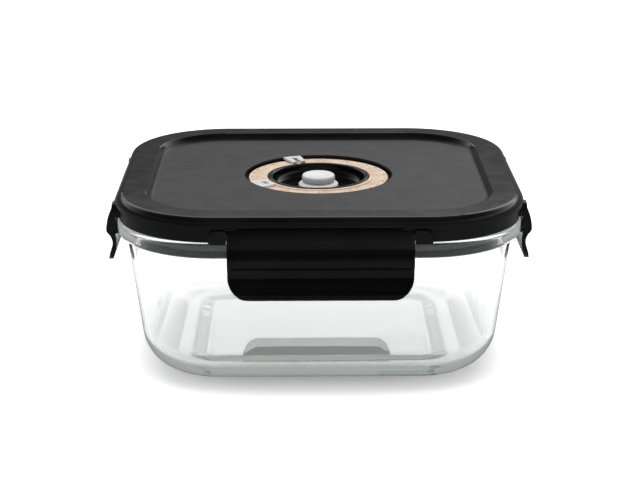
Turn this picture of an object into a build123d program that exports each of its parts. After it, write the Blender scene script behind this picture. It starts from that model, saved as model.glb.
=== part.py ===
from build123d import *
import os
from math import cos, radians, sin, tan

os.makedirs("parts", exist_ok=True)

# A square food canister: a tempered glass dish, a black two-shell lid that four hinged
# flaps clamp onto the glass rim, and a vacuum valve in a bowl at the middle of the lid,
# with a date ring and two sliding pointers round it.
# Millimetres. +Z is up, +X is to the right seen from the front, -Y is the front.
# The origin is at the centre of the dish's flat underside.

# Lid outline, seen from above
lid_half_width = 95.0
lid_half_depth = 87.0
lid_corner = 48.0

# Glass dish
dish_height = 76.1
dish_wall = 3.0
dish_floor = 4.6
dish_draft_angle = 7.85
dish_wall_inset = 6.3
base_radius = 15.5
inner_base_radius = 12.5
rim_height = 7.5
rim_inset = 0.6
rim_under_radius = 2.6
rim_top_radius = 1.8
mouth_radius = 1.4

# Heights in the lid, stacked up from the glass rim
skirt_gap = 0.35
skirt_height = 6.45
border_rise = 4.85
panel_drop = 2.6

# Lid outlines, measured inwards from the edge of the border
skirt_inset = 1.5
skirt_wall = 2.2
border_radius = 3.5
crest_inset = 14.2
crest_radius = 0.8
panel_inset = 16.5
panel_edge_radius = 1.8
border_core_inset = 6.0
border_core_width = 7.0
border_core_height = 2.2

# Inner shell of the lid, which is welded under the panel and carries the gasket
inner_shell_inset = 4.1
inner_shell_wall = 1.5
plate_thickness = 2.2
channel_width = 4.4
plug_wall = 1.6
plug_depth = 4.6
rib_thickness = 1.2
rib_height = 3.0
rib_count = 8
boss_width = 6.5
boss_height = 1.0

# Gasket in the channel
gasket_clearance = 0.3
gasket_body = 3.4
bead_width = 1.6
bead_radius = 0.4

# Flap hinges
hinge_inset = 0.6
hinge_drop = 3.3
pin_radius = 0.75
pin_fit = 0.05
barrel_radius = 1.9
pocket_radius = 3.5
flap_gap = 0.35
pad_proud = 1.6
pad_overlap = 8.2
pad_drop = 0.5
pad_corner = 3.4
pin_grip = 5.6
border_relief = 1.0
border_relief_angle = 34.0

# Flaps
front_flap_half = 41.45
side_flap_half = 37.8
flap_corner = 10.4
flap_length = 31.5
flap_top_drop = 0.35
flap_bulge = 5.3
hook_height = 2.4
hook_reach = 4.5
hook_drop = 12.95
hook_end = 3.0

# Well in the panel, with the date ring on its shelf and the pointers' track in its wall
well_radius = 35.8
well_depth = 3.2
well_edge_radius = 0.5
track_depth = 1.3
track_height = 1.0
ring_outer_gap = 1.9
ring_inner_gap = 0.35
ring_thickness = 1.8
ring_step_width = 1.9
ring_step = 0.35

# Valve bowl, its seal and its nut
bowl_inner_radius = 22.2
bowl_wall = 1.0
bowl_depth = 6.5
bowl_floor = 1.8
bowl_corner = 4.0
bowl_under_radius = 0.8
bowl_hole_gap = 0.25
lip_width = 2.5
lip_drop = 0.85
lip_edge_radius = 0.8
seal_width = 0.9
seal_height = 0.7
seal_inset = 0.3
seal_fit = 0.05
nut_width = 5.0
nut_height = 2.4
nut_fit = 0.05
nut_notch = 3.0
nut_notches = 8

# Pointers
pointer_thickness = 1.0
pointer_clearance = 0.2
pointer_foot_arc = 9.0
day_pointer_arc = 15.0
day_pointer_arm = 5.0
day_pointer_bridge = 2.6
month_pointer_arc = 20.0
month_pointer_width = 8.4
month_window_arc = 8.0
month_window_width = 2.8
month_window_margin = 4.1

# Silicone valve plug
cap_radius = 8.15
cap_drop = 0.1
cap_edge_radius = 1.3
cap_dimple_radius = 3.0
cap_dimple_depth = 0.5
waist_radius = 6.6
waist_height = 0.5
flange_radius = 9.85
flange_thickness = 2.2
flange_edge_radius = 0.8
plug_seat_gap = 0.3
stem_radius = 2.0
stem_gap = 0.3
stem_bead_radius = 3.4
stem_bead_height = 1.8
valve_travel = 2.0
vent_radius = 1.1
vent_circle = 5.6
vent_count = 4

# The flap's profile: each pair is a share of the bulge outwards from the lid's edge and
# a share of the flap's length down from its top
flap_face_shares = [
    (0.075, 0.0), (0.34, 0.075), (0.62, 0.176), (0.83, 0.275), (0.96, 0.383), (0.998, 0.45), (0.975, 0.485),
    (0.75, 0.538), (0.54, 0.6), (0.48, 0.67), (0.57, 0.738), (0.755, 0.833), (0.9, 0.938),
]
flap_tip_shares = [(0.9, 0.938), (0.74, 1.0), (0.547, 0.96)]
flap_back_shares = [(0.547, 0.96), (0.387, 0.875), (0.18, 0.776), (0.104, 0.671), (0.13, 0.589), (0.264, 0.51)]
flap_root_shares = [
    (0.264, 0.51), (0.264, 0.44), (0.094, 0.256), (-0.02, 0.12), (-0.08, 0.02), (0.02, 0.0), (0.075, 0.0),
]

# Where the two pointers stand on the date ring, in degrees from +X
day_pointer_angle = 112.0
month_pointer_angle = 211.0

# One overrun for every cut, and how near a picked edge or face lies to where it is sought
overrun = 2.0
pick_tolerance = 0.02

# Heights worked out from the sizes above
rim_under_z = dish_height - rim_height
skirt_z = dish_height + skirt_gap
border_z = skirt_z + skirt_height
lid_top_z = border_z + border_rise
panel_z = lid_top_z - panel_drop
plate_z = border_z - plate_thickness
boss_z = plate_z - boss_height
plug_z = dish_height - plug_depth
hinge_z = border_z - hinge_drop
shelf_z = panel_z - well_depth
ring_top_z = shelf_z + ring_thickness
ring_inner_top_z = ring_top_z + ring_step
lip_top_z = panel_z - lip_drop
bowl_floor_z = panel_z - bowl_depth
bowl_under_z = bowl_floor_z - bowl_floor

# Radii worked out from the sizes above
lip_radius = bowl_inner_radius + lip_width
bowl_thread_radius = bowl_inner_radius + bowl_wall
bowl_hole_radius = bowl_thread_radius + bowl_hole_gap
ring_inner_radius = lip_radius + ring_inner_gap
ring_outer_radius = well_radius - ring_outer_gap
pointer_outer_radius = well_radius - pointer_clearance

# Insets worked out from the sizes above
skirt_inner_inset = skirt_inset + skirt_wall
channel_outer_inset = inner_shell_inset + inner_shell_wall
channel_inner_inset = channel_outer_inset + channel_width
plug_inner_inset = channel_inner_inset + plug_wall

# The four sides of the lid: name, outward direction, distance to the edge, half flap
sides = [
    ("front", (0, -1, 0), lid_half_depth, front_flap_half),
    ("back", (0, 1, 0), lid_half_depth, front_flap_half),
    ("left", (-1, 0, 0), lid_half_width, side_flap_half),
    ("right", (1, 0, 0), lid_half_width, side_flap_half),
]


def outline(inset, mode=Mode.ADD):
    """The lid's rounded square, drawn in by an inset."""
    RectangleRounded(2 * (lid_half_width - inset), 2 * (lid_half_depth - inset), lid_corner - inset, mode=mode)


def outline_cut(inset):
    """The same rounded square, taken away from the sketch."""
    outline(inset, mode=Mode.SUBTRACT)


def section_plane(direction):
    """Across a side of the lid: local x points outwards and local y points up."""
    outward = Vector(*direction)
    return Plane(origin=(0, 0, 0), x_dir=outward, z_dir=outward.cross(Vector(0, 0, 1)))


def face_plane(direction, distance):
    """Facing a side of the lid: local x runs along it and local y points up."""
    outward = Vector(*direction)
    along = Vector(0, 0, 1).cross(outward)
    return Plane(origin=outward * distance, x_dir=along, z_dir=outward)


def half_section(points):
    """The edges of a closed half section, from pairs of a radius and a height."""
    with BuildLine() as section:
        Polyline(*points, close=True)
    return section.edges()


def sector(inner, outer, arc, centre_angle):
    """The edges of a piece of a flat ring, between two radii, centred on an angle."""
    half = radians(arc / 2)
    middle = radians(centre_angle)

    def at(radius, turn):
        return (radius * cos(middle + turn), radius * sin(middle + turn))

    with BuildLine() as border:
        ThreePointArc(at(outer, -half), at(outer, 0), at(outer, half))
        Line(at(outer, half), at(inner, half))
        ThreePointArc(at(inner, half), at(inner, 0), at(inner, -half))
        Line(at(inner, -half), at(outer, -half))
    return border.edges()


def rims_of(piece, radius):
    """The round edges of a piece that have this radius, from the lowest to the highest."""
    rims = piece.edges().filter_by(GeomType.CIRCLE)
    return rims.filter_by(lambda rim: abs(rim.radius - radius) < pick_tolerance).sort_by(Axis.Z)


def finish(piece, name):
    """Names a piece and writes it."""
    piece.part.label = name
    export_step(piece.part, f"parts/{name}.step")
    print(name, "volume", round(piece.part.volume), "solids", len(piece.part.solids()))


# Glass dish: a drafted tub with a heavy flange round its mouth
draft = tan(radians(dish_draft_angle))
dish_wall_slope = dish_wall / cos(radians(dish_draft_angle))


def dish_outline(z, wall):
    """The dish's section at a height, drawn in by a wall."""
    outline(dish_wall_inset + (rim_under_z - z) * draft + wall)


with BuildPart() as glass_dish:
    with BuildSketch(Plane.XY):
        dish_outline(0, 0)
    with BuildSketch(Plane.XY.offset(dish_height)):
        dish_outline(dish_height, 0)
    loft(ruled=True)
    fillet(glass_dish.edges().group_by(Axis.Z)[0], base_radius)
    with BuildSketch(Plane.XY.offset(rim_under_z)):
        outline(rim_inset)
    extrude(amount=rim_height)
    flange_faces = glass_dish.faces().filter_by(
        lambda face: abs(face.bounding_box().min.Z - rim_under_z) < pick_tolerance
        and abs(face.bounding_box().max.Z - dish_height) < pick_tolerance
    )
    under_edges = flange_faces.edges().group_by(Axis.Z)[0]
    fillet(under_edges, rim_under_radius)
    fillet(glass_dish.edges().group_by(Axis.Z)[-1], rim_top_radius)
    with BuildPart(mode=Mode.PRIVATE) as cavity:
        with BuildSketch(Plane.XY.offset(dish_floor)):
            dish_outline(dish_floor, dish_wall_slope)
        with BuildSketch(Plane.XY.offset(dish_height + overrun)):
            dish_outline(dish_height + overrun, dish_wall_slope)
        loft(ruled=True)
        fillet(cavity.edges().group_by(Axis.Z)[0], inner_base_radius)
    add(cavity.part, mode=Mode.SUBTRACT)
    mouth = glass_dish.faces().group_by(Axis.Z)[-1][0].inner_wires()[0]
    fillet(mouth.edges(), mouth_radius)
finish(glass_dish, "glass_dish")


# Lid cover: one moulding with a broad border, a sunk panel, a skirt and hinge pads
pad_top_z = border_z - pad_drop
pin_half_extra = flap_gap + pin_grip

with BuildPart() as lid_cover:
    with BuildSketch(Plane.XY.offset(border_z)):
        outline(0)
    extrude(amount=border_rise)
    fillet(lid_cover.edges().group_by(Axis.Z)[-1], border_radius)
    with BuildPart(mode=Mode.PRIVATE) as dip:
        with BuildSketch(Plane.XY.offset(panel_z)):
            outline(panel_inset)
        with BuildSketch(Plane.XY.offset(lid_top_z)):
            outline(crest_inset)
        loft(ruled=True)
        fillet(dip.edges().group_by(Axis.Z)[0], panel_edge_radius)
        extrude(dip.faces().group_by(Axis.Z)[-1], amount=overrun)
    add(dip.part, mode=Mode.SUBTRACT)
    crest_face = lid_cover.faces().group_by(Axis.Z)[-1][0]
    fillet(crest_face.inner_wires()[0].edges(), crest_radius)
    # The hollow in the border's underside
    with BuildSketch(Plane.XY.offset(border_z)):
        outline(border_core_inset)
        outline_cut(border_core_inset + border_core_width)
    extrude(amount=border_core_height, mode=Mode.SUBTRACT)
    # The skirt, and the pads that hold the hinge pins
    with BuildSketch(Plane.XY.offset(skirt_z)):
        outline(skirt_inset)
        outline_cut(skirt_inner_inset)
    extrude(amount=skirt_height)
    for name, direction, edge, flap_half in sides:
        pad_half = flap_half + pad_overlap
        with BuildSketch(face_plane(direction, edge + pad_proud)):
            with BuildLine():
                FilletPolyline(
                    (-pad_half, skirt_z),
                    (-pad_half, pad_top_z),
                    (pad_half, pad_top_z),
                    (pad_half, skirt_z),
                    radius=pad_corner,
                )
                Line((pad_half, skirt_z), (-pad_half, skirt_z))
            make_face()
        extrude(amount=-(pad_proud + skirt_inner_inset))
    # The pocket for each flap, the relief above it and the bores for its pin
    relief_run = border_relief + overrun
    for name, direction, edge, flap_half in sides:
        hinge = (edge - hinge_inset, hinge_z)
        with BuildSketch(section_plane(direction)):
            with Locations(hinge):
                Circle(pocket_radius)
            with BuildLine():
                Polyline(
                    (edge - inner_shell_inset, hinge_z),
                    (edge - inner_shell_inset, skirt_z - overrun),
                    (edge + pad_proud + overrun, skirt_z - overrun),
                    (edge + pad_proud + overrun, border_z),
                    (edge - hinge_inset, border_z),
                    hinge,
                    close=True,
                )
            make_face()
            with BuildLine():
                Polyline(
                    (edge - border_relief, border_z - overrun),
                    (edge - border_relief, border_z),
                    (edge + overrun, border_z + relief_run * tan(radians(border_relief_angle))),
                    (edge + overrun, border_z - overrun),
                    close=True,
                )
            make_face()
        extrude(amount=flap_half + flap_gap, both=True, mode=Mode.SUBTRACT)
        with BuildSketch(section_plane(direction)):
            with Locations(hinge):
                Circle(pin_radius + pin_fit)
        extrude(amount=flap_half + pin_half_extra, both=True, mode=Mode.SUBTRACT)
    # The round well, and under its wall the track that holds the pointers' feet
    with BuildSketch(Plane.XY.offset(border_z)):
        Circle(well_radius)
    extrude(amount=border_rise, mode=Mode.SUBTRACT)
    fillet(rims_of(lid_cover, well_radius)[-1], well_edge_radius)
    with BuildSketch(Plane.XY.offset(border_z)):
        Circle(well_radius + track_depth)
    extrude(amount=track_height, mode=Mode.SUBTRACT)
finish(lid_cover, "lid_cover")


# Inner shell: the plate under the panel, with the gasket channel, the wall that enters
# the dish, ribs, and the boss round the hole for the valve bowl
with BuildPart() as lid_inner_shell:
    with BuildSketch(Plane.XY.offset(plate_z)):
        outline(inner_shell_inset)
    extrude(amount=plate_thickness)
    with BuildSketch(Plane.XY.offset(skirt_z)):
        outline(inner_shell_inset)
        outline_cut(channel_outer_inset)
    extrude(amount=plate_z - skirt_z)
    with BuildSketch(Plane.XY.offset(plug_z)):
        outline(channel_inner_inset)
        outline_cut(plug_inner_inset)
    extrude(amount=plate_z - plug_z)
    with BuildSketch(Plane.XY.offset(boss_z)):
        Circle(bowl_hole_radius + boss_width)
    extrude(amount=boss_height)
    with BuildSketch(Plane.XY.offset(plate_z - rib_height)):
        with PolarLocations(0, rib_count):
            Rectangle(lid_half_width + lid_half_depth, rib_thickness, align=(Align.MIN, Align.CENTER))
        outline(channel_inner_inset + plug_wall / 2, mode=Mode.INTERSECT)
        Circle(bowl_hole_radius + boss_width, mode=Mode.SUBTRACT)
    extrude(amount=rib_height)
    with BuildSketch(Plane.XY.offset(shelf_z)):
        Circle(well_radius)
    extrude(amount=border_z - shelf_z, mode=Mode.SUBTRACT)
    with BuildSketch(Plane.XY.offset(boss_z)):
        Circle(bowl_hole_radius)
    extrude(amount=border_z - boss_z, mode=Mode.SUBTRACT)
finish(lid_inner_shell, "lid_inner_shell")


# Gasket: a silicone ring in the channel, with a bead at its outer side that meets the
# flat top of the glass rim
bead_inset = channel_outer_inset + gasket_clearance

with BuildPart() as lid_gasket:
    with BuildSketch(Plane.XY.offset(plate_z - gasket_clearance)):
        outline(bead_inset)
        outline_cut(channel_inner_inset - gasket_clearance)
    extrude(amount=-gasket_body)
    with BuildSketch(Plane.XY.offset(skirt_z)):
        outline(bead_inset)
        outline_cut(bead_inset + bead_width)
    extrude(amount=plate_z - gasket_clearance - skirt_z)
    fillet(lid_gasket.edges().group_by(Axis.Z)[0], bead_radius)
finish(lid_gasket, "lid_gasket")


# Flaps: a moulding with a rounded barrel on its pin, a bowed face, a hook that catches
# under the glass rim and a finger tab that curls outwards
flap_top_z = border_z - flap_top_drop


def flap_points(shares, edge):
    """Points of the flap's profile at a side whose edge is this far from the centre."""
    return [(edge + out * flap_bulge, flap_top_z - down * flap_length) for out, down in shares]


def make_flap(direction, edge, flap_half):
    """One flap, closed, on its side of the lid."""
    first_end = section_plane(direction).offset(-flap_half)
    hinge = (edge - hinge_inset, hinge_z)
    hook_centre = edge - hook_reach + hook_height / 2
    with BuildPart() as flap:
        with BuildSketch(first_end):
            with BuildLine():
                Spline(*flap_points(flap_face_shares, edge))
                ThreePointArc(*flap_points(flap_tip_shares, edge))
                Spline(*flap_points(flap_back_shares, edge))
                Polyline(*flap_points(flap_root_shares, edge))
            make_face()
            with Locations(hinge):
                Circle(barrel_radius)
        extrude(amount=2 * flap_half)
        with BuildSketch(first_end.offset(hook_end)):
            with Locations((hook_centre, hinge_z - hook_drop)):
                Circle(hook_height / 2)
                hook_length = edge + flap_bulge / 2 - hook_centre
                Rectangle(hook_length, hook_height, align=(Align.MIN, Align.CENTER))
        extrude(amount=2 * (flap_half - hook_end))
        with BuildSketch(first_end):
            with Locations(hinge):
                Circle(pin_radius + pin_fit)
        extrude(amount=2 * flap_half, mode=Mode.SUBTRACT)
        # The lower corners, seen from the front of the flap
        with BuildSketch(face_plane(direction, edge + flap_bulge + overrun)):
            with BuildLine():
                FilletPolyline(
                    (-flap_half, border_z),
                    (-flap_half, flap_top_z - flap_length),
                    (flap_half, flap_top_z - flap_length),
                    (flap_half, border_z),
                    radius=flap_corner,
                )
                Line((flap_half, border_z), (-flap_half, border_z))
            make_face()
        extrude(amount=-(flap_bulge + pocket_radius + hook_reach + overrun), mode=Mode.INTERSECT)
    return flap


for side_name, direction, edge, flap_half in sides:
    finish(make_flap(direction, edge, flap_half), f"{side_name}_flap")


# Hinge pins: one steel pin through each flap and both of its pads
for side_name, direction, edge, flap_half in sides:
    pin_half = flap_half + pin_half_extra
    with BuildPart() as hinge_pin:
        with BuildSketch(section_plane(direction).offset(-pin_half)):
            with Locations((edge - hinge_inset, hinge_z)):
                Circle(pin_radius)
        extrude(amount=2 * pin_half)
    finish(hinge_pin, f"{side_name}_hinge_pin")


# Valve bowl: a glossy insert whose flange sits on the shelf of the well and whose
# threaded body goes through the inner shell to a nut
seal_outer_radius = lip_radius - seal_inset
seal_inner_radius = seal_outer_radius - seal_width

with BuildPart() as valve_bowl:
    with BuildSketch(Plane.XZ):
        make_face(
            half_section(
                [
                    (0, bowl_under_z),
                    (bowl_thread_radius, bowl_under_z),
                    (bowl_thread_radius, shelf_z),
                    (lip_radius, shelf_z),
                    (lip_radius, lip_top_z),
                    (bowl_inner_radius, lip_top_z),
                    (bowl_inner_radius, bowl_floor_z),
                    (0, bowl_floor_z),
                ]
            )
        )
    revolve(axis=Axis.Z)
    fillet(rims_of(valve_bowl, bowl_inner_radius)[0], bowl_corner)
    fillet(rims_of(valve_bowl, bowl_inner_radius)[-1], lip_edge_radius)
    fillet(rims_of(valve_bowl, lip_radius)[-1], lip_edge_radius)
    fillet(rims_of(valve_bowl, bowl_thread_radius)[0], bowl_under_radius)
    with BuildSketch(Plane.XY.offset(shelf_z)):
        Circle(seal_outer_radius)
        Circle(seal_inner_radius, mode=Mode.SUBTRACT)
    extrude(amount=seal_height, mode=Mode.SUBTRACT)
    with BuildSketch(Plane.XY.offset(bowl_under_z)):
        Circle(stem_radius + stem_gap)
        with PolarLocations(vent_circle, vent_count):
            Circle(vent_radius)
    extrude(amount=bowl_floor, mode=Mode.SUBTRACT)
finish(valve_bowl, "valve_bowl")

with BuildPart() as bowl_seal:
    with BuildSketch(Plane.XY.offset(shelf_z)):
        Circle(seal_outer_radius - seal_fit)
        Circle(seal_inner_radius + seal_fit, mode=Mode.SUBTRACT)
    extrude(amount=seal_height)
finish(bowl_seal, "bowl_seal")

nut_inner_radius = bowl_thread_radius + nut_fit

with BuildPart() as bowl_nut:
    with BuildSketch(Plane.XY.offset(boss_z)):
        Circle(nut_inner_radius + nut_width)
        Circle(nut_inner_radius, mode=Mode.SUBTRACT)
        with PolarLocations(nut_inner_radius + nut_width, nut_notches):
            Circle(nut_notch / 2, mode=Mode.SUBTRACT)
    extrude(amount=-nut_height)
finish(bowl_nut, "bowl_nut")


# Date ring: a flat ring on the shelf of the well, with a raised inner tier
with BuildPart() as date_ring:
    with BuildSketch(Plane.XZ):
        make_face(
            half_section(
                [
                    (ring_inner_radius, shelf_z),
                    (ring_outer_radius, shelf_z),
                    (ring_outer_radius, ring_top_z),
                    (ring_inner_radius + ring_step_width, ring_top_z),
                    (ring_inner_radius + ring_step_width, ring_inner_top_z),
                    (ring_inner_radius, ring_inner_top_z),
                ]
            )
        )
    revolve(axis=Axis.Z)
finish(date_ring, "date_ring")


# Pointers: each has a foot that goes down beside the ring and into the well's track
foot_z = border_z + pointer_clearance
foot_height = track_height - 2 * pointer_clearance
foot_inner_radius = ring_outer_radius + pointer_clearance
foot_outer_radius = well_radius + track_depth - pointer_clearance
day_pointer_z = ring_inner_top_z + pointer_clearance
month_pointer_z = ring_top_z + pointer_clearance

# Day pointer: a U that opens towards the middle
with BuildPart() as day_pointer:
    with BuildSketch(Plane.XY.offset(day_pointer_z)):
        make_face(
            sector(
                lip_radius + pointer_clearance,
                pointer_outer_radius,
                day_pointer_arc,
                day_pointer_angle,
            )
        )
        make_face(
            sector(
                lip_radius - overrun,
                pointer_outer_radius - day_pointer_bridge,
                day_pointer_arc - 2 * day_pointer_arm,
                day_pointer_angle,
            ),
            mode=Mode.SUBTRACT,
        )
    extrude(amount=pointer_thickness)
    with BuildSketch(Plane.XY.offset(foot_z)):
        make_face(sector(foot_inner_radius, pointer_outer_radius, pointer_foot_arc, day_pointer_angle))
    extrude(amount=day_pointer_z - foot_z)
    with BuildSketch(Plane.XY.offset(foot_z)):
        make_face(sector(foot_inner_radius, foot_outer_radius, pointer_foot_arc, day_pointer_angle))
    extrude(amount=foot_height)
finish(day_pointer, "day_pointer")

# Month pointer: a tab with a window
window_outer_radius = pointer_outer_radius - month_window_margin

with BuildPart() as month_pointer:
    with BuildSketch(Plane.XY.offset(month_pointer_z)):
        make_face(
            sector(
                pointer_outer_radius - month_pointer_width,
                pointer_outer_radius,
                month_pointer_arc,
                month_pointer_angle,
            )
        )
        make_face(
            sector(
                window_outer_radius - month_window_width,
                window_outer_radius,
                month_window_arc,
                month_pointer_angle,
            ),
            mode=Mode.SUBTRACT,
        )
    extrude(amount=pointer_thickness)
    with BuildSketch(Plane.XY.offset(foot_z)):
        make_face(sector(foot_inner_radius, pointer_outer_radius, pointer_foot_arc, month_pointer_angle))
    extrude(amount=month_pointer_z - foot_z)
    with BuildSketch(Plane.XY.offset(foot_z)):
        make_face(sector(foot_inner_radius, foot_outer_radius, pointer_foot_arc, month_pointer_angle))
    extrude(amount=foot_height)
finish(month_pointer, "month_pointer")


# Valve plug: one silicone piece with an umbrella flange over the vents, a grip cap and a
# stem whose bead keeps it in the bowl's floor
cap_top_z = panel_z - cap_drop
flange_z = bowl_floor_z + plug_seat_gap
flange_top_z = flange_z + flange_thickness
waist_top_z = flange_top_z + waist_height
bead_top_z = bowl_under_z - valve_travel - stem_gap
bead_z = bead_top_z - stem_bead_height

with BuildPart() as valve_plug:
    with BuildSketch(Plane.XZ):
        make_face(
            half_section(
                [
                    (0, bead_z),
                    (stem_bead_radius, bead_z),
                    (stem_bead_radius, bead_top_z),
                    (stem_radius, bead_top_z),
                    (stem_radius, flange_z),
                    (flange_radius, flange_z),
                    (flange_radius, flange_top_z),
                    (waist_radius, flange_top_z),
                    (waist_radius, waist_top_z),
                    (cap_radius, waist_top_z),
                    (cap_radius, cap_top_z),
                    (0, cap_top_z),
                ]
            )
        )
    revolve(axis=Axis.Z)
    fillet(rims_of(valve_plug, flange_radius), flange_edge_radius)
    fillet(rims_of(valve_plug, cap_radius)[-1], cap_edge_radius)
    fillet(rims_of(valve_plug, cap_radius)[0], cap_edge_radius / 2)
    fillet(rims_of(valve_plug, stem_bead_radius), stem_bead_height / 3)
    with BuildSketch(Plane.XY.offset(cap_top_z)):
        Circle(cap_dimple_radius)
    extrude(amount=-cap_dimple_depth, taper=45, mode=Mode.SUBTRACT)
finish(valve_plug, "valve_plug")
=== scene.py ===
# %% [markdown]
# A vacuum seal canister: a clear glass dish under a black lid, with four clamping flaps,
# a date ring and a white silicone valve. The moving frame comes first. Each solid of the
# frame is already at its real size and place, so this lesson gives it its finish, models
# the small things that the solids leave out, and lights it like a product picture.

# %% Load the frame
import math

import bpy
from mathutils import Matrix, Vector


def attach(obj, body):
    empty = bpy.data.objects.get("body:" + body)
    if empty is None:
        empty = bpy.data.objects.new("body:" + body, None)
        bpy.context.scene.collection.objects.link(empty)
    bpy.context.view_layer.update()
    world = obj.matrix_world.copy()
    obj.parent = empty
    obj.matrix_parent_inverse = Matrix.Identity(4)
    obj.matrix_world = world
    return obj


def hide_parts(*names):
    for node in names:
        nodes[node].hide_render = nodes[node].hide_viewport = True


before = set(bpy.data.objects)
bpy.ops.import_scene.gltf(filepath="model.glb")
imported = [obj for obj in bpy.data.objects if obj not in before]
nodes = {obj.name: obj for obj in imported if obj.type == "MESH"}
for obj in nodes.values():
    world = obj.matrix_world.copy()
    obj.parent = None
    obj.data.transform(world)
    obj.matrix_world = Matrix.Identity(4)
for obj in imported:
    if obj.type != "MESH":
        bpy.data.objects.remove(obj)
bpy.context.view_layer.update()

MM = 0.001
print("pieces in the frame:", len(nodes))

# %% [markdown]
# The view comes from the picture: a long lens, a little above the lid, almost straight on.
# A camera could be placed by its own three coordinates, but one that looks at a point from
# a turn, an elevation and a distance is easier to read and to correct. So its place is
# worked out from those.

# %% Camera
view_lens = 94.55
view_distance = 0.8325
view_elevation = math.radians(17.26)
view_turn = math.radians(0.72)
view_aim = (0.00075, 0.05103)

away = Vector((math.sin(view_turn), math.cos(view_turn), 0.0))
right = Vector((math.cos(view_turn), -math.sin(view_turn), 0.0))
aim = right * view_aim[0] + Vector((0, 0, view_aim[1]))
camera_place = aim - away * view_distance * math.cos(view_elevation)
camera_place.z += view_distance * math.sin(view_elevation)
camera_data = bpy.data.cameras.new("studio_camera")
camera_data.lens = view_lens
camera_data.clip_start = 0.01
camera = bpy.data.objects.new("studio_camera", camera_data)
camera.location = camera_place
camera.rotation_euler = (aim - camera_place).to_track_quat("-Z", "Y").to_euler()
bpy.context.scene.collection.objects.link(camera)
bpy.context.scene.camera = camera
bpy.context.scene.view_settings.view_transform = "Standard"
print("camera at", [round(value, 4) for value in camera_place])

# %% [markdown]
# Every finish here is a tree of nodes. Each node could be written out line by line, but the
# same few steps come back in all of them, so they are helpers: one starts a material, one
# adds a node and sets its values, and one puts two sources together by a sum, a product or
# another operation.


# %% Helpers for nodes
def start_finish(name):
    """A material with its node tree and its shader."""
    material = bpy.data.materials.new(name)
    material.use_nodes = True
    return material, material.node_tree, material.node_tree.nodes["Principled BSDF"]


def add_node(tree, kind, **values):
    """A node with its inputs and settings filled in by name."""
    node = tree.nodes.new(kind)
    for key, value in values.items():
        if hasattr(node, key):
            setattr(node, key, value)
        else:
            node.inputs[key.replace("_", " ")].default_value = value
    return node


def combine(tree, operation, first, second):
    """A source put together with another source, or with a number."""
    node = add_node(tree, "ShaderNodeMath", operation=operation)
    tree.links.new(first, node.inputs[0])
    if isinstance(second, (int, float)):
        node.inputs[1].default_value = second
    else:
        tree.links.new(second, node.inputs[1])
    return node.outputs["Value"]


print("helpers for nodes ready")

# %% [markdown]
# No real surface is the same all over, so noises drive the colours, the roughness and the
# bumps. The noises lie on Object coordinates, which stay with the piece when it moves. The
# coordinates are metres, so a grain's size in millimetres turns into the noise's scale by
# one division. A noise rarely reaches 0 or 1, so its middle range is spread instead.


# %% Helpers for patterns
def grain(tree, size_mm, detail=3.0, stretch=(1, 1, 1)):
    """A noise whose patches are about this large, and can be stretched along an axis."""
    position = add_node(tree, "ShaderNodeTexCoord")
    mapping = add_node(tree, "ShaderNodeMapping")
    mapping.inputs["Scale"].default_value = stretch
    noise = add_node(tree, "ShaderNodeTexNoise", Scale=1 / (size_mm * MM), Detail=detail)
    tree.links.new(position.outputs["Object"], mapping.inputs["Vector"])
    tree.links.new(mapping.outputs["Vector"], noise.inputs["Vector"])
    return noise.outputs["Fac"]


def spread(tree, source, low, high, start=0.35, end=0.65):
    """A source between start and end, spread between low and high, and held beyond them."""
    ranged = add_node(tree, "ShaderNodeMapRange")
    ranged.inputs["From Min"].default_value = start
    ranged.inputs["From Max"].default_value = end
    ranged.inputs["To Min"].default_value = low
    ranged.inputs["To Max"].default_value = high
    tree.links.new(source, ranged.inputs["Value"])
    return ranged.outputs["Result"]


def tint(tree, shader, source, dark, light, start=0.35, end=0.65):
    """Colours the shader from dark to light by a source."""
    ramp = add_node(tree, "ShaderNodeValToRGB")
    ramp.color_ramp.elements[0].position = start
    ramp.color_ramp.elements[1].position = end
    ramp.color_ramp.elements[0].color = (*dark, 1)
    ramp.color_ramp.elements[1].color = (*light, 1)
    tree.links.new(source, ramp.inputs["Fac"])
    tree.links.new(ramp.outputs["Color"], shader.inputs["Base Color"])


def relief(tree, shader, source, depth_um, strength):
    """A bump that is so many thousandths of a millimetre deep."""
    bump = add_node(tree, "ShaderNodeBump", Distance=depth_um * MM * MM, Strength=strength)
    tree.links.new(source, bump.inputs["Height"])
    tree.links.new(bump.outputs["Normal"], shader.inputs["Normal"])


print("helpers for patterns ready")

# %% [markdown]
# The lid and its inner shell are moulded in black plastic with a fine satin texture, which
# the tool steel leaves in it. Up close it is a very fine grain. Over the whole lid the
# gloss drifts a little, as on any moulding, and skin leaves faint smudges. So three noises
# of different sizes drive the colour, the roughness and the bump. The sunk panel was
# etched duller than the border round it. It could be a material of its own, but the panel
# lies lower than the border's top, so the height alone tells the two apart, and a range on
# Z takes some roughness off the border.

# %% Satin black plastic
panel_level = 85.9
border_level = 86.6


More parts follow.
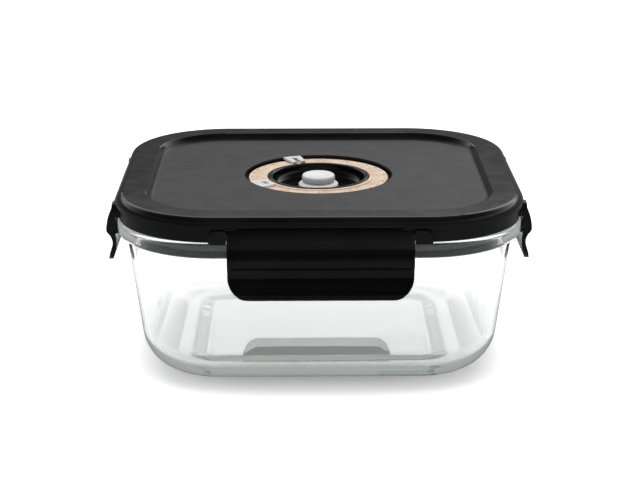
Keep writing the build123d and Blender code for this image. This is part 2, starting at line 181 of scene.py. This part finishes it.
def satin_black(name, dark, light, roughness, grain_mm, border_shine=0.0):
    """Satin plastic, rough between two values, and shinier on the border by border_shine."""
    material, tree, shader = start_finish(name)
    cloud = grain(tree, 34.0, 2.0)
    smudge = grain(tree, 9.0, 4.0)
    fine = grain(tree, grain_mm, 2.0)
    tint(tree, shader, cloud, dark, light)
    smudged = spread(tree, smudge, roughness[0], roughness[1])
    grained = combine(tree, "ADD", smudged, spread(tree, fine, -0.02, 0.02))
    position = add_node(tree, "ShaderNodeTexCoord")
    axes = add_node(tree, "ShaderNodeSeparateXYZ")
    tree.links.new(position.outputs["Object"], axes.inputs["Vector"])
    polish = spread(tree, axes.outputs["Z"], 0.0, -border_shine, panel_level * MM, border_level * MM)
    tree.links.new(combine(tree, "ADD", grained, polish), shader.inputs["Roughness"])
    shader.inputs["Specular IOR Level"].default_value = 0.3
    relief(tree, shader, fine, 6.0, 0.35)
    return material


lid_finish = satin_black(
    "lid_satin_black", (0.004, 0.004, 0.0045), (0.008, 0.008, 0.0085), (0.33, 0.38), 0.35, border_shine=0.25
)
shell_finish = satin_black(
    "shell_satin_black", (0.01, 0.01, 0.011), (0.016, 0.016, 0.017), (0.42, 0.5), 0.5
)
print("made", lid_finish.name, shell_finish.name)

# %% [markdown]
# The flaps and the valve bowl are polished black plastic. A polished moulding is never
# quite flat: it has a long, shallow waviness, like the skin of an orange, and a few faint
# hairlines from wiping. The hairlines could be cut as a bump, but they are too fine for
# the eye to see as grooves. So the waviness is a bump of large patches, and the hairlines
# are a noise stretched along one axis, which only roughens the gloss.


# %% Gloss black plastic
def gloss_black(name, base, rough, stretch):
    """Polished plastic of this colour and roughness, with its hairlines along one axis."""
    material, tree, shader = start_finish(name)
    lighter = tuple(value * 1.6 for value in base)
    tint(tree, shader, grain(tree, 22.0, 1.0), base, lighter)
    hairline = grain(tree, 0.6, 3.0, stretch)
    wiped = spread(tree, hairline, rough, rough + 0.05, 0.55, 0.75)
    tree.links.new(wiped, shader.inputs["Roughness"])
    shader.inputs["Specular IOR Level"].default_value = 0.28
    relief(tree, shader, grain(tree, 6.0, 1.0), 12.0, 0.5)
    return material


flap_finish = gloss_black("flap_gloss_black", (0.003, 0.003, 0.0032), 0.12, (0.08, 0.08, 1))
bowl_finish = gloss_black("bowl_gloss_black", (0.003, 0.003, 0.003), 0.08, (1, 1, 0.1))
print("made", flap_finish.name, bowl_finish.name)

# %% [markdown]
# The dish is pressed tempered glass. It is clear, with the faintest green where the eye
# looks through its thick base and rim, and its pressed surface is slightly wavy. A green
# base colour would tint thin and thick glass alike, so the green comes from a volume that
# absorbs a little light, and the waviness from a weak bump.
#
# Light that is caught in a thick corner is mirrored there many times before it comes out.
# The renderer stops following it after a few turns and shows black. So a very small glow
# starts where light has been mirrored more than once, in place of what got lost. Looked at
# directly, the glass has no glow.

# %% Clear pressed glass
glass_finish, tree, shader = start_finish("pressed_clear_glass")
tint(tree, shader, grain(tree, 60.0, 1.0), (0.985, 0.992, 0.99), (1.0, 1.0, 1.0))
touched = spread(tree, grain(tree, 1.2, 2.0), 0.0, 0.012)
tree.links.new(touched, shader.inputs["Roughness"])
shader.inputs["IOR"].default_value = 1.5
shader.inputs["Transmission Weight"].default_value = 1.0
relief(tree, shader, grain(tree, 16.0, 1.0), 12.0, 0.2)
glass_rays = add_node(tree, "ShaderNodeLightPath")
lost_light = spread(tree, glass_rays.outputs["Glossy Depth"], 0.0, 0.13, 1.2, 3.0)
shader.inputs["Emission Color"].default_value = (0.93, 0.97, 0.96, 1)
tree.links.new(lost_light, shader.inputs["Emission Strength"])
absorb = add_node(tree, "ShaderNodeVolumeAbsorption", Density=4.0)
absorb.inputs["Color"].default_value = (0.78, 0.88, 0.85, 1)
tree.links.new(absorb.outputs["Volume"], tree.nodes["Material Output"].inputs["Volume"])
print("made", glass_finish.name)

# %% [markdown]
# Two silicones: the gasket and the bowl's seal are grey, and the valve is white. Silicone
# is soft to the eye because light enters it and comes out again near by, and its surface
# is dull, with a fine dust on it. A plain white would look like hard plastic, so a little
# subsurface scattering with a small radius is added.


# %% Silicone
def silicone(name, dark, light, rough, depth_mm):
    """Soft rubber that lets light in as deep as depth_mm."""
    material, tree, shader = start_finish(name)
    tint(tree, shader, grain(tree, 5.0, 3.0), dark, light)
    dust = grain(tree, 0.25, 2.0)
    tree.links.new(spread(tree, dust, rough - 0.06, rough + 0.06), shader.inputs["Roughness"])
    shader.inputs["Subsurface Weight"].default_value = 0.12
    shader.inputs["Subsurface Radius"].default_value = (1.0, 0.98, 0.96)
    shader.inputs["Subsurface Scale"].default_value = depth_mm * MM
    relief(tree, shader, dust, 8.0, 0.3)
    return material


valve_finish = silicone("valve_white_silicone", (0.86, 0.86, 0.855), (0.93, 0.93, 0.925), 0.4, 1.2)
gasket_finish = silicone("gasket_grey_silicone", (0.4, 0.41, 0.41), (0.47, 0.48, 0.48), 0.5, 0.8)
print("made", valve_finish.name, gasket_finish.name)

# %% [markdown]
# The date ring is champagne-coloured, with a sandblasted grain that sparkles a little. Its
# colour is warmer in some patches than in others. The pointers are silver-painted plastic
# with fine metal flakes in the paint, and the hinge pins are drawn steel, with lines along
# the wire. All three are a fine grain over larger patches, so one recipe serves them, with
# the size of the grain, the depth of its bump and the share of metal as its values.


# %% Ring, pointers and pins
def flaked(name, dark, light, metal, rough, flake_mm, bump_um, stretch=(1, 1, 1)):
    """A grain of flakes over larger patches, more or less metallic."""
    material, tree, shader = start_finish(name)
    flake = grain(tree, flake_mm, 3.0, stretch)
    patches = spread(tree, grain(tree, 7.0, 3.0), 0.2, 0.5)
    blend = combine(tree, "ADD", patches, spread(tree, flake, 0.0, 0.5))
    tint(tree, shader, blend, dark, light, 0.2, 0.9)
    tree.links.new(spread(tree, flake, rough, rough + 0.15), shader.inputs["Roughness"])
    shader.inputs["Metallic"].default_value = metal
    relief(tree, shader, flake, bump_um, 0.5)
    return material


ring_finish = flaked("ring_champagne", (0.62, 0.4, 0.25), (0.98, 0.83, 0.66), 0.1, 0.42, 0.5, 24.0)
pointer_finish = flaked("pointer_silver", (0.74, 0.75, 0.76), (0.9, 0.91, 0.92), 0.2, 0.28, 0.12, 4.0)
pin_finish = flaked(
    "pin_drawn_steel", (0.42, 0.42, 0.42), (0.62, 0.62, 0.61), 1.0, 0.25, 0.1, 3.0, stretch=(1, 1, 0.2)
)
print("made", ring_finish.name, pointer_finish.name, pin_finish.name)

# %% [markdown]
# The ring's days and months are printed in brown. Print is a thin, slightly uneven layer of
# ink, a little duller than what it lies on, so it gets a colour that drifts and a fine
# grain at its surface.

# %% Brown print
ink_finish, tree, shader = start_finish("ring_brown_print")
tint(tree, shader, grain(tree, 3.0, 2.0), (0.3, 0.17, 0.09), (0.42, 0.26, 0.15))
ink_grain = grain(tree, 0.15, 2.0)
tree.links.new(spread(tree, ink_grain, 0.45, 0.6), shader.inputs["Roughness"])
relief(tree, shader, ink_grain, 5.0, 0.4)
print("made", ink_finish.name)

# %% [markdown]
# Each solid of the frame now gets its finish. This could be done piece by piece, but a
# table of names keeps it to one loop and shows at a glance what is made of what.

# %% Dress the solids
finishes = {
    "glass_dish": glass_finish,
    "lid_cover": lid_finish,
    "lid_inner_shell": shell_finish,
    "bowl_nut": shell_finish,
    "lid_gasket": gasket_finish,
    "bowl_seal": gasket_finish,
    "valve_bowl": bowl_finish,
    "valve_plug": valve_finish,
    "date_ring": ring_finish,
    "day_pointer": pointer_finish,
    "month_pointer": pointer_finish,
}
sides = ("front", "back", "left", "right")
for side in sides:
    finishes[side + "_flap"] = flap_finish
    finishes[side + "_hinge_pin"] = pin_finish
for name, finish in finishes.items():
    nodes[name].data.materials.clear()
    nodes[name].data.materials.append(finish)
print("dressed", len(finishes), "of", len(nodes))

# %% [markdown]
# The dish and the lid share one outline: a rectangle with large round corners. Everything
# on them keeps its distance from that outline, so pieces are started from a flat slab of
# it, moved inwards. A plane gets the size, its four corners are bevelled round, and it is
# extruded down to the slab's lower face.

# %% Helpers for slabs
lid_half_width = 95
lid_half_depth = 87
lid_corner = 48
corner_steps = 20


def select_only(piece):
    """Deselects all else, and makes this piece the active one."""
    bpy.ops.object.select_all(action="DESELECT")
    piece.select_set(True)
    bpy.context.view_layer.objects.active = piece


def rounded_slab(name, inset_mm, top_mm, bottom_mm):
    """A slab with the lid's outline, moved inwards, left in edit mode."""
    bpy.ops.object.select_all(action="DESELECT")
    bpy.ops.mesh.primitive_plane_add(size=2, location=(0, 0, top_mm * MM))
    piece = bpy.context.object
    piece.name = name
    bpy.ops.object.transform_apply(location=True, rotation=True, scale=True)
    bpy.ops.object.mode_set(mode="EDIT")
    bpy.ops.mesh.select_all(action="SELECT")
    half = ((lid_half_width - inset_mm) * MM, (lid_half_depth - inset_mm) * MM, 1)
    bpy.ops.transform.resize(value=half, center_override=(0, 0, top_mm * MM))
    corner = (lid_corner - inset_mm) * MM
    bpy.ops.mesh.bevel(offset=corner, segments=corner_steps, affect="VERTICES")
    bpy.ops.mesh.select_all(action="SELECT")
    drop = (0, 0, (bottom_mm - top_mm) * MM)
    bpy.ops.mesh.extrude_region_move(TRANSFORM_OT_translate={"value": drop})
    bpy.ops.mesh.select_all(action="SELECT")
    bpy.ops.mesh.normals_make_consistent(inside=False)
    return piece


print("helpers for slabs ready")

# %% [markdown]
# From a slab, the rest of a section is drawn by insets: the flat face is inset again and
# again, each time a little higher or lower. An inset keeps its distance all round, so the
# corners tighten as they do on the real dish, which scaling the face wouldn't do. The
# section is a list of points, each an inset from the outline and a height.


# %% Helpers for sections
def select_cap(piece, level_mm):
    """Selects the one flat face that lies at this level."""
    bpy.ops.mesh.select_all(action="DESELECT")
    bpy.ops.object.mode_set(mode="OBJECT")
    for face in piece.data.polygons:
        at_level = abs(face.center.z - level_mm * MM) < 1e-6
        face.select = at_level and abs(face.normal.z) > 0.99
    bpy.ops.object.mode_set(mode="EDIT")
    bpy.ops.mesh.select_mode(type="FACE")


def follow(section_mm, facing):
    """Insets the selected face along a section. It faces up, 1, or down, -1."""
    for (inset, level), (next_inset, next_level) in zip(section_mm, section_mm[1:]):
        depth = (next_level - level) * facing * MM
        thickness = (next_inset - inset) * MM
        bpy.ops.mesh.inset(thickness=thickness, depth=depth, use_boundary=True)


def arc(centre, radius, start_degrees, end_degrees, steps):
    """Points on a round corner, from one angle to another, as insets and heights."""
    points = []
    for index in range(steps + 1):
        angle = math.radians(start_degrees + (end_degrees - start_degrees) * index / steps)
        points.append((centre[0] - radius * math.cos(angle), centre[1] + radius * math.sin(angle)))
    return points


print("helpers for sections ready")

# %% [markdown]
# The dish is pressed glass, and glass shows every curve twice, outside and inside. So it is
# modelled once more, finer than its solid, as one closed skin. It starts as a slab as high
# as the straight part of the rim's side. From its lower face the section goes under the
# rim, down the outside and round the base to the foot. The bottom is rounder than in the
# solid, which is what the picture shows.

# %% Outside of the glass dish
rim_inset = 0.6
rim_side_top = 74.3
rim_side_bottom = 71.2
wall_lean = -7.3

dish = rounded_slab("pressed_glass_dish", rim_inset, rim_side_top, rim_side_bottom)
outside = arc((3.2, rim_side_bottom), 2.6, 0, -90, 6)
outside += [(4.1, 68.59), (4.5, 68.45), (4.72, 68.1), (4.83, 67.5), (5.9, 60.0), (8.46, 40.0)]
outside += arc((30.85, 22.6), 20.0, wall_lean, -90, 12)
outside += [(33.0, 2.5), (36.0, 1.7), (38.5, 0.7), (40.5, 0.12), (42.0, 0.0), (44.0, 0.0)]
select_cap(dish, rim_side_bottom)
follow(outside, -1)
print("outside of the dish:", len(outside), "steps")

# %% [markdown]
# From the slab's upper face the section goes over the rim, round the mouth's edge and down
# the inside to the floor. The mouth's edge is rounded in five steps, each given by how far
# the edge has bent by then, in radians. The floor is thicker than in the solid, and from it
# the glass gets thinner through the round corner and up the wall, as in the picture.

# %% Inside of the glass dish
rim_top = 76.1
mouth_radius = 1.4
mouth_inset = 6.9

inside = arc((2.4, rim_side_top), 1.8, 0, 90, 5) + [(6.0, rim_top)]
for bend in (0.0, 0.4, 0.8, 1.2, 1.57):
    drop = mouth_radius * (1 - math.cos(bend))
    inside.append((mouth_inset + mouth_radius * math.sin(bend), rim_top - drop))
inside += [(8.4, 72.0), (8.62, 68.0), (9.0, 60.0), (11.56, 40.0)]
inside += arc((27.9, 22.6), 14.0, wall_lean, -90, 12) + [(31.0, 8.6)]
select_cap(dish, rim_side_top)
follow(inside, 1)
print("inside of the dish:", len(inside), "steps")

# %% [markdown]
# A clear skin has to be closed and has to face outwards, or it would bend light the wrong
# way. So points that fell together are merged, and the faces are turned outwards. Smooth
# shading stops at sharp angles, which this skin hasn't. The finished dish rides the body of
# the dish and stands for its solid.

# %% Finished glass dish
bpy.ops.mesh.select_all(action="SELECT")
bpy.ops.mesh.remove_doubles(threshold=0.001 * MM)
bpy.ops.mesh.normals_make_consistent(inside=False)
bpy.ops.object.mode_set(mode="OBJECT")
select_only(dish)
bpy.ops.object.shade_smooth_by_angle(angle=math.radians(40))
dish.data.materials.append(glass_finish)
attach(dish, "dish")
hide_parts("glass_dish")
highest = max(vertex.co.z for vertex in dish.data.vertices)
print(dish.name, "faces", len(dish.data.polygons), "highest", round(highest, 4))

# %% [markdown]
# Below its gasket the lid reaches a little further into the dish than its solid does. This
# black lip is what draws the dark band in the glass rim. It could be a curve with a
# thickness, but a low wall from the same slab follows the dish exactly: the slab's upper
# and lower faces are inset and taken out, the two openings are bridged, and its edges are
# bevelled.

# %% Lip inside the rim
lip_top = 71.6
lip_bottom = 68.0
lip_wall = 1.6

lip = rounded_slab("lid_dipping_lip", 10.0, lip_top, lip_bottom)
for level in (lip_bottom, lip_top):
    select_cap(lip, level)
    bpy.ops.mesh.inset(thickness=lip_wall * MM, depth=0)
    bpy.ops.mesh.delete(type="FACE")
bpy.ops.mesh.select_mode(type="EDGE")
bpy.ops.mesh.select_non_manifold()
bpy.ops.mesh.bridge_edge_loops()
bpy.ops.mesh.select_all(action="SELECT")
bpy.ops.mesh.normals_make_consistent(inside=False)
bpy.ops.object.mode_set(mode="OBJECT")
select_only(lip)
lip_edge = lip.modifiers.new("edge", "BEVEL")
lip_edge.width = 0.35 * MM
lip_edge.segments = 3
lip_edge.limit_method = "ANGLE"
lip_edge.angle_limit = math.radians(50)
bpy.ops.object.modifier_apply(modifier="edge")
bpy.ops.object.shade_smooth_by_angle(angle=math.radians(40))
lip.data.materials.append(shell_finish)
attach(lip, "lid")
print(lip.name, "faces", len(lip.data.polygons))

# %% [markdown]
# The solids of the flaps have knife-sharp rims. A moulding can't: its rims are rounded by
# about half a millimetre, and they draw the thin light line round each flap. A bevel
# modifier rounds every edge that turns sharply. It needs a clean surface, so it works on a
# copy of the solid, whose doubled points are merged and whose flat parts are joined first.

# %% Flaps with rounded rims
rim_radius = 0.45
sharp_turn = 35


def rounded_flap(side):
    """A copy of a flap with its sharp edges rounded, which stands for that flap."""
    node = side + "_flap"
    piece = bpy.data.objects.new(side + "_flap_moulding", nodes[node].data.copy())
    bpy.context.scene.collection.objects.link(piece)
    select_only(piece)
    bpy.ops.mesh.customdata_custom_splitnormals_clear()
    bpy.ops.object.mode_set(mode="EDIT")
    bpy.ops.mesh.select_all(action="SELECT")
    bpy.ops.mesh.remove_doubles(threshold=0.002 * MM)
    bpy.ops.mesh.dissolve_limited(angle_limit=math.radians(0.3))
    bpy.ops.object.mode_set(mode="OBJECT")
    rim = piece.modifiers.new("rim", "BEVEL")
    rim.width = rim_radius * MM
    rim.segments = 3
    rim.limit_method = "ANGLE"
    rim.angle_limit = math.radians(sharp_turn)
    rim.harden_normals = False
    bpy.ops.object.modifier_apply(modifier="rim")
    bpy.ops.object.shade_smooth_by_angle(angle=math.radians(sharp_turn - 3))
    piece.data.materials.clear()
    piece.data.materials.append(flap_finish)
    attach(piece, node)
    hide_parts(node)
    print(piece.name, "faces", len(piece.data.polygons))


for side in sides:
    rounded_flap(side)

# %% [markdown]
# The valve is one soft moulding, so it has no hard edge anywhere. It is built as on a
# lathe, from the bottom up: a filled circle is extruded to the next level and scaled to
# the next radius, ring after ring, from the bead that holds it, up the stem, over the wide
# flange, round the waist and over the cap, and down into the dimple that a fingertip
# finds. Spinning a drawn section would give the same body, but here each ring can be read
# as a radius and a height.

# %% Valve plug, ring by ring
plug_rings = [
    (2.4, 72.78), (3.1, 72.95), (3.4, 73.5), (3.3, 74.2), (2.5, 74.5), (2.02, 74.6), (2.0, 75.2),
    (2.0, 78.6), (2.3, 78.93), (8.6, 78.97), (9.5, 79.0), (9.84, 79.3), (9.84, 79.9), (9.6, 80.4),
    (8.9, 80.85), (7.6, 81.1), (6.7, 81.2), (6.58, 81.5), (7.0, 81.68), (7.8, 81.8), (8.13, 82.2),
    (8.14, 83.4), (8.05, 84.2), (7.6, 84.75), (6.9, 85.0), (6.0, 85.02), (5.0, 84.85), (3.8, 84.45),
    (2.4, 84.15), (0.8, 84.05),
]
plug_sides = 40
radius, level = plug_rings[0]
bpy.ops.object.select_all(action="DESELECT")
bpy.ops.mesh.primitive_circle_add(
    vertices=plug_sides, radius=radius * MM, fill_type="NGON", location=(0, 0, level * MM)
)
plug = bpy.context.object
plug.name = "valve_plug_moulding"
bpy.ops.object.mode_set(mode="EDIT")
bpy.ops.mesh.select_all(action="SELECT")
for next_radius, next_level in plug_rings[1:]:
    rise = (0, 0, (next_level - level) * MM)
    bpy.ops.mesh.extrude_region_move(TRANSFORM_OT_translate={"value": rise})
    scale = next_radius / radius
    bpy.ops.transform.resize(value=(scale, scale, 1), center_override=(0, 0, next_level * MM))
    radius, level = next_radius, next_level
bpy.ops.mesh.select_all(action="SELECT")
bpy.ops.mesh.normals_make_consistent(inside=False)
bpy.ops.object.mode_set(mode="OBJECT")
print("rings of the valve plug:", len(plug_rings))

# %% [markdown]
# The rings still have corners between them. A bevel would round each corner by the same
# radius, but silicone flows from one form into the next, so a subdivision surface softens
# all of it at once. The finished plug stands for its solid.

# %% Finished valve plug
select_only(plug)
bpy.ops.object.transform_apply(location=True, rotation=True, scale=True)
soft = plug.modifiers.new("soft", "SUBSURF")
soft.levels = 2
soft.render_levels = 2
bpy.ops.object.modifier_apply(modifier="soft")
bpy.ops.object.shade_smooth()
plug.data.materials.append(valve_finish)
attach(plug, "valve_plug")
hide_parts("valve_plug")
print(plug.name, "faces", len(plug.data.polygons))

# %% [markdown]
# The ring carries the days from 1 to 31 along its edge and the months from 1 to 12 inside
# them. Their feet point outwards, so each number is turned by its own angle round the
# ring. They could be an image on the ring, but a thin mesh stays sharp from close by. So
# each number is a text, which is made a mesh before it is placed.


# %% Numbers on the ring
def ring_number(text, radius_mm, turn, size_mm, level_mm):
    """One number on a circle, with its foot turned outwards."""
    bpy.ops.object.select_all(action="DESELECT")
    bpy.ops.object.text_add(location=(0, 0, 0))
    word = bpy.context.object
    word.data.body = text
    word.data.size = size_mm * MM
    word.data.align_x = "CENTER"
    word.data.align_y = "CENTER"
    word.data.extrude = 0.02 * MM
    word.data.resolution_u = 3
    bpy.ops.object.convert(target="MESH")
    outwards = Matrix.Translation((0, -radius_mm * MM, level_mm * MM))
    word.data.transform(Matrix.Rotation(turn, 4, "Z") @ outwards)
    return word


ring_level = 83.765
day_radius = 32.5
day_size = 1.7
month_radius = 29.6
month_size = 2.5
words = []
for day in range(31):
    turn = math.radians(360 / 31 * day - 90)
    words.append(ring_number(str(day + 1), day_radius, turn, day_size, ring_level))
for month in range(12):
    turn = math.radians(30 * month - 90)
    words.append(ring_number(str(month + 1), month_radius, turn, month_size, ring_level))
print("numbers on the ring:", len(words))

# %% [markdown]
# Real print is one layer on the ring, and 43 loose pieces would only fill the table of
# pieces. So the numbers are joined into one piece that rides the lid, as the ring does.

# %% Print joined into one piece
bpy.ops.object.select_all(action="DESELECT")
for word in words:
    word.select_set(True)
numbers = words[0]
bpy.context.view_layer.objects.active = numbers
bpy.ops.object.join()
numbers.name = "ring_numbers"
numbers.data.materials.clear()
numbers.data.materials.append(ink_finish)
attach(numbers, "lid")
print(numbers.name, "faces", len(numbers.data.polygons))

# %% [markdown]
# The studio floor is a large sheet of white paper. Its own colour is a pale grey that the
# lamp lights, and it keeps the object's shadow. Brighter lamps would make it white, but
# they would bleach the valve and the ring too. So it is raised to white by a glow that only
# the camera and the clear glass see. In gloss the paper counts for less than half, which
# keeps the lid's skirt dark, as in a studio where the paper ends near the object.

# %% Floor
bpy.ops.object.select_all(action="DESELECT")
bpy.ops.mesh.primitive_plane_add(size=6, location=(0, 0, 0))
floor = bpy.context.object
floor.name = "studio_floor"
floor_finish, tree, shader = start_finish("floor_paper")
tint(tree, shader, grain(tree, 1.5, 3.0), (0.78, 0.78, 0.78), (0.8, 0.8, 0.8))
shader.inputs["Roughness"].default_value = 0.9
shader.inputs["Specular IOR Level"].default_value = 0.0
floor_rays = add_node(tree, "ShaderNodeLightPath")
dimmed = add_node(tree, "ShaderNodeMixShader")
mirrored = combine(
    tree, "SUBTRACT", floor_rays.outputs["Is Glossy Ray"], floor_rays.outputs["Is Transmission Ray"]
)
tree.links.new(spread(tree, mirrored, 0.0, 0.55, 0.0, 1.0), dimmed.inputs[0])
tree.links.new(shader.outputs["BSDF"], dimmed.inputs[1])
print("floor", floor.name)

# %% [markdown]
# Under the dish little light reaches the paper, so the glow is painted weaker there: a painted
# shadow, which gives the base of the glass its grey line. The mask could be a picture of the
# dish's outline, but two coordinates are enough: each is divided by half the size of the base,
# and the fourth powers of both add up to 1 along a rectangle with round corners. So their sum
# tells how far inside or outside the base a place is, and a range on it turns the painted
# shadow softly into the glow around it.

# %% Glow of the floor, with a painted shadow under the dish
base_half_width = 0.083
base_half_depth = 0.072
# painted shadow: the floor's glow under the dish, weaker than the glow around it
painted_shadow_glow = 0.24
glow_around = 0.8
glow_through_glass = 0.75

floor_position = add_node(tree, "ShaderNodeTexCoord")
floor_axes = add_node(tree, "ShaderNodeSeparateXYZ")
tree.links.new(floor_position.outputs["Object"], floor_axes.inputs["Vector"])
across = combine(tree, "DIVIDE", floor_axes.outputs["X"], base_half_width)
along = combine(tree, "DIVIDE", floor_axes.outputs["Y"], base_half_depth)
reach = combine(tree, "ADD", combine(tree, "POWER", across, 4), combine(tree, "POWER", along, 4))
# the glow by place: painted shadow under the dish, fading into the full glow around it
glow_with_painted_shadow = spread(tree, reach, painted_shadow_glow, glow_around, 0.3, 1.5)
glass_share = combine(
    tree, "MULTIPLY", floor_rays.outputs["Is Transmission Ray"], glow_through_glass
)
seen = combine(tree, "MAXIMUM", floor_rays.outputs["Is Camera Ray"], glass_share)
glow = add_node(tree, "ShaderNodeEmission")
tree.links.new(combine(tree, "MULTIPLY", seen, glow_with_painted_shadow), glow.inputs["Strength"])
paper_and_glow = add_node(tree, "ShaderNodeAddShader")
tree.links.new(dimmed.outputs["Shader"], paper_and_glow.inputs[0])
tree.links.new(glow.outputs["Emission"], paper_and_glow.inputs[1])
tree.links.new(paper_and_glow.outputs["Shader"], tree.nodes["Material Output"].inputs["Surface"])
floor.data.materials.append(floor_finish)
print("made", floor_finish.name)

# %% [markdown]
# For gloss the room is a real studio. It is dim on the camera's side, which is why the
# flaps look almost black, and bright behind the object and a little at its right. The
# bright part lies between a low and a middling height, so the lid's flat top, which
# mirrors it, is lighter than the bowl and the inner edges, which mirror what is above. It
# could be an image of a studio, but a few ranges on the world's own directions do it, and
# are multiplied.

# %% Room for gloss
world = bpy.data.worlds.new("studio")
bpy.context.scene.world = world
world.use_nodes = True
tree = world.node_tree
room = tree.nodes["Background"]
room.inputs["Color"].default_value = (1, 1, 1, 1)
world_position = add_node(tree, "ShaderNodeTexCoord")
direction = add_node(tree, "ShaderNodeSeparateXYZ")
tree.links.new(world_position.outputs["Generated"], direction.inputs["Vector"])
to_right = direction.outputs["X"]
to_back = direction.outputs["Y"]
upwards = direction.outputs["Z"]
behind = spread(tree, to_back, 0.38, 1.85, 0.1, 0.75)
right_box = spread(tree, to_right, 0.0, 0.9, 0.6, 0.95)
below_ceiling = spread(tree, upwards, 1.0, 0.06, 0.4, 0.75)
above_horizon = spread(tree, upwards, 0.1, 1.0, 0.27, 0.38)
left_to_right = spread(tree, to_right, 0.7, 1.1, -0.15, 0.15)
gloss_room = combine(tree, "ADD", behind, right_box)
for share in (below_ceiling, left_to_right, above_horizon):
    gloss_room = combine(tree, "MULTIPLY", gloss_room, share)
print("world", world.name)

# %% [markdown]
# For the camera the room is white, and through the glass almost white. The rim and the
# walls of the dish mirror the room once more inside the glass, and there it is brighter
# behind the object, which draws the light lines in the rim. A real studio does this with a
# brighter sheet behind the glass. On dull surfaces the room only fills the shadows a little.

# %% Room for the camera and the glass
plain_glass_room = 0.92
mirrored_glass_room = 2.5
fill_light = 0.35

world_rays = add_node(tree, "ShaderNodeLightPath")
mirrored_behind = combine(tree, "MULTIPLY", world_rays.outputs["Glossy Depth"], behind)
glass_room = spread(tree, mirrored_behind, plain_glass_room, mirrored_glass_room, 0.0, 1.85)
through_glass = combine(tree, "MULTIPLY", world_rays.outputs["Is Transmission Ray"], glass_room)
white_room = combine(tree, "MAXIMUM", world_rays.outputs["Is Camera Ray"], through_glass)
plain_or_gloss = add_node(tree, "ShaderNodeMix")
plain_or_gloss.inputs["A"].default_value = fill_light
tree.links.new(world_rays.outputs["Is Glossy Ray"], plain_or_gloss.inputs["Factor"])
tree.links.new(gloss_room, plain_or_gloss.inputs["B"])
room_strength = combine(tree, "MAXIMUM", plain_or_gloss.outputs["Result"], white_room)
tree.links.new(room_strength, room.inputs["Strength"])
print("room for the camera, the glass, gloss and fill")

# %% [markdown]
# One large soft box lights the object from overhead, a little behind, as in the picture,
# whose shadow is short and soft. Several small lamps would draw several shadows. The box is
# hidden from the camera, and from gloss too, because the room above already gives the gloss
# its light.

# %% Lamp
lamp_place = Vector((0, 0.1, 1.5))
lamp_target = Vector((0, 0, 0.05))
lamp_data = bpy.data.lights.new("overhead_box", "AREA")
lamp_data.shape = "RECTANGLE"
lamp_data.size = 1.6
lamp_data.size_y = 1.6
lamp_data.energy = 17
lamp = bpy.data.objects.new("overhead_box", lamp_data)
lamp.location = lamp_place
lamp.rotation_euler = (lamp_target - lamp_place).to_track_quat("-Z", "Y").to_euler()
lamp.visible_camera = False
lamp.visible_glossy = False
bpy.context.scene.collection.objects.link(lamp)
print("lamp", lamp.name, "of", lamp_data.energy, "watts")
